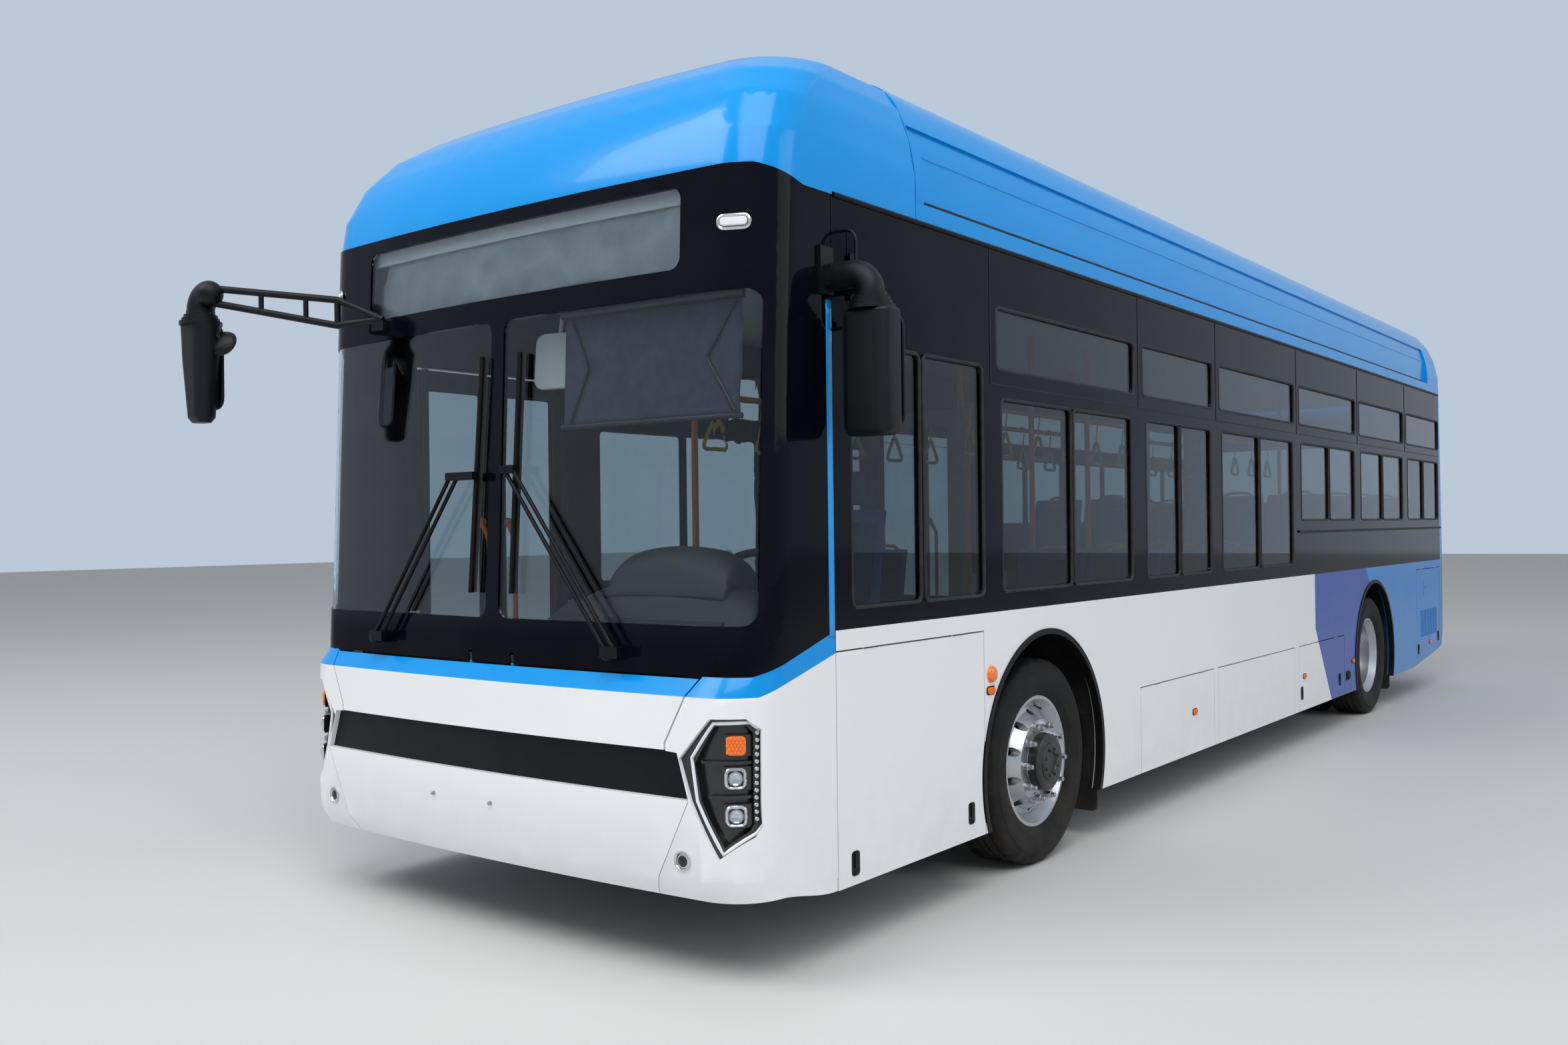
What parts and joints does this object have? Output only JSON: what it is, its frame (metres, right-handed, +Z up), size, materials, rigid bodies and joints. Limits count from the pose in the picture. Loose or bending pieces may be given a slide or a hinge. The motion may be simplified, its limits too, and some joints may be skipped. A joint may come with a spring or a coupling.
{
  "type": "low-entry city bus",
  "caption": "Low-entry electric city bus with turning wheels, coupled front steering, inward-swinging passenger door leaves, lifting service flaps and an open, seated saloon.",
  "frame": {"origin": "on the ground below the middle of the outer box", "axes": "+Z up, the front faces -Y, +X is the driver's side and -X the kerb side with the doors"},
  "size_m": [3.024, 11.2499, 3.36],
  "materials": {
    "white_paint": "gloss",
    "blue_paint": "gloss",
    "black_gloss": "gloss",
    "black_trim": "satin",
    "lamp": "clear lens",
    "tail_lamp": "red lens",
    "glazing": "clear",
    "roof_sheet": "satin",
    "pack_shell": "satin",
    "floor_cover": "matt",
    "frame_steel": "satin",
    "bellows": "matt",
    "wheel_silver": "satin",
    "tyre": "matt",
    "seat": "woven",
    "dash": "matt",
    "hand_wheel": "matt",
    "pole": "gloss"
  },
  "bodies": {
    "body": {"air_springs": "bellows", "arch_lips": "black_trim", "battery_packs": "pack_shell", "climate_unit": "pack_shell", "drive_motor": "frame_steel", "driver_station": "dash", "front_axle": "frame_steel", "front_bumper": "white_paint", "front_corners": "white_paint", "grab_poles": "pole", "grille_bar": "black_trim", "headlamps": "lamp", "lower_wall_left": "white_paint", "lower_wall_right": "white_paint", "mirrors": "black_gloss", "rear_axle": "frame_steel", "rear_wall": "blue_paint", "roof_deck": "roof_sheet", "roof_dome_front": "blue_paint", "roof_dome_rear": "blue_paint", "roof_fairings": "blue_paint", "saloon_floor": "floor_cover", "saloon_glass": "glazing", "seats": "seat", "sign_box": "dash", "steering_wheel": "hand_wheel", "tail_lamps": "tail_lamp", "underframe": "frame_steel", "wheel_boxes": "floor_cover", "window_band_left": "black_gloss", "window_band_right": "black_gloss", "windscreen_glass": "glazing", "windscreen_surround": "black_gloss", "wipers": "black_trim"},
    "steer_left": {"knuckle_left": "frame_steel"},
    "steer_right": {"knuckle_right": "frame_steel"},
    "wheel_front_left_body": {"wheel_front_left": "wheel_silver", "tyre_front_left": "tyre"},
    "wheel_front_right_body": {"wheel_front_right": "wheel_silver", "tyre_front_right": "tyre"},
    "wheel_rear_left_body": {"wheel_rear_left": "wheel_silver", "tyre_rear_left": "tyre"},
    "wheel_rear_right_body": {"wheel_rear_right": "wheel_silver", "tyre_rear_right": "tyre"},
    "door_front_fore_leaf": {"door_front_fore": "black_trim", "door_front_fore_glass": "glazing"},
    "door_front_aft_leaf": {"door_front_aft": "black_trim", "door_front_aft_glass": "glazing"},
    "door_middle_fore_leaf": {"door_middle_fore": "black_trim", "door_middle_fore_glass": "glazing"},
    "door_middle_aft_leaf": {"door_middle_aft": "black_trim", "door_middle_aft_glass": "glazing"},
    "front_flap_lid": {"front_flap": "white_paint"},
    "flap_front_left_lid": {"flap_front_left": "white_paint"},
    "flap_one_left_lid": {"flap_one_left": "white_paint"},
    "flap_two_left_lid": {"flap_two_left": "white_paint"},
    "flap_three_left_lid": {"flap_three_left": "blue_paint"},
    "flap_rear_left_lid": {"flap_rear_left": "blue_paint"},
    "rear_lid_body": {"rear_lid": "blue_paint"}
  },
  "joints": [
    {"name": "steer_left", "type": "hinge", "parent": "body", "child": "steer_left", "pos_m": [0.945, -2.96, 0.47], "axis": [0, 0, 1], "range_deg": [-40, 40]},
    {"name": "spin_front_left", "type": "hinge", "parent": "steer_left", "child": "wheel_front_left_body", "pos_m": [1.085, -2.96, 0.47], "axis": [1, 0, 0], "continuous": true},
    {"name": "spin_rear_left", "type": "hinge", "parent": "body", "child": "wheel_rear_left_body", "pos_m": [1.085, 2.92, 0.47], "axis": [1, 0, 0], "continuous": true},
    {"name": "steer_right", "type": "hinge", "parent": "body", "child": "steer_right", "pos_m": [-0.945, -2.96, 0.47], "axis": [0, 0, 1], "range_deg": [-40, 40]},
    {"name": "spin_front_right", "type": "hinge", "parent": "steer_right", "child": "wheel_front_right_body", "pos_m": [-1.085, -2.96, 0.47], "axis": [1, 0, 0], "continuous": true},
    {"name": "spin_rear_right", "type": "hinge", "parent": "body", "child": "wheel_rear_right_body", "pos_m": [-1.085, 2.92, 0.47], "axis": [1, 0, 0], "continuous": true},
    {"name": "door_front_fore_swing", "type": "hinge", "parent": "body", "child": "door_front_fore_leaf", "pos_m": [-1.18, -4.547, 1.3], "axis": [0, 0, -1], "range_deg": [0, 88]},
    {"name": "door_front_aft_swing", "type": "hinge", "parent": "body", "child": "door_front_aft_leaf", "pos_m": [-1.18, -3.663, 1.3], "axis": [0, 0, 1], "range_deg": [0, 88]},
    {"name": "door_middle_fore_swing", "type": "hinge", "parent": "body", "child": "door_middle_fore_leaf", "pos_m": [-1.18, -0.617, 1.3], "axis": [0, 0, -1], "range_deg": [0, 88]},
    {"name": "door_middle_aft_swing", "type": "hinge", "parent": "body", "child": "door_middle_aft_leaf", "pos_m": [-1.18, 0.607, 1.3], "axis": [0, 0, 1], "range_deg": [0, 88]},
    {"name": "flap_front_left_lift", "type": "hinge", "parent": "body", "child": "flap_front_left_lid", "pos_m": [1.25, -4.092, 1.10915], "axis": [0, -1, 0], "range_deg": [0, 90]},
    {"name": "flap_one_left_lift", "type": "hinge", "parent": "body", "child": "flap_one_left_lid", "pos_m": [1.25, -1.3375, 0.69915], "axis": [0, -1, 0], "range_deg": [0, 90]},
    {"name": "flap_two_left_lift", "type": "hinge", "parent": "body", "child": "flap_two_left_lid", "pos_m": [1.25, 0.025, 0.69915], "axis": [0, -1, 0], "range_deg": [0, 90]},
    {"name": "flap_three_left_lift", "type": "hinge", "parent": "body", "child": "flap_three_left_lid", "pos_m": [1.25, 1.44, 0.69915], "axis": [0, -1, 0], "range_deg": [0, 90]},
    {"name": "flap_rear_left_lift", "type": "hinge", "parent": "body", "child": "flap_rear_left_lid", "pos_m": [1.25, 4.8615, 1.11515], "axis": [0, -1, 0], "range_deg": [0, 90]},
    {"name": "front_flap_lift", "type": "hinge", "parent": "body", "child": "front_flap_lid", "pos_m": [0, -5.15, 1.08], "axis": [-1, 0, 0], "range_deg": [0, 70]},
    {"name": "rear_lid_lift", "type": "hinge", "parent": "body", "child": "rear_lid_body", "pos_m": [0, 5.621, 1.24315], "axis": [1, 0, 0], "range_deg": [0, 85]}
  ],
  "couplings": [
    {"joint": "steer_right", "follows": "steer_left", "ratio": 1}
  ]
}
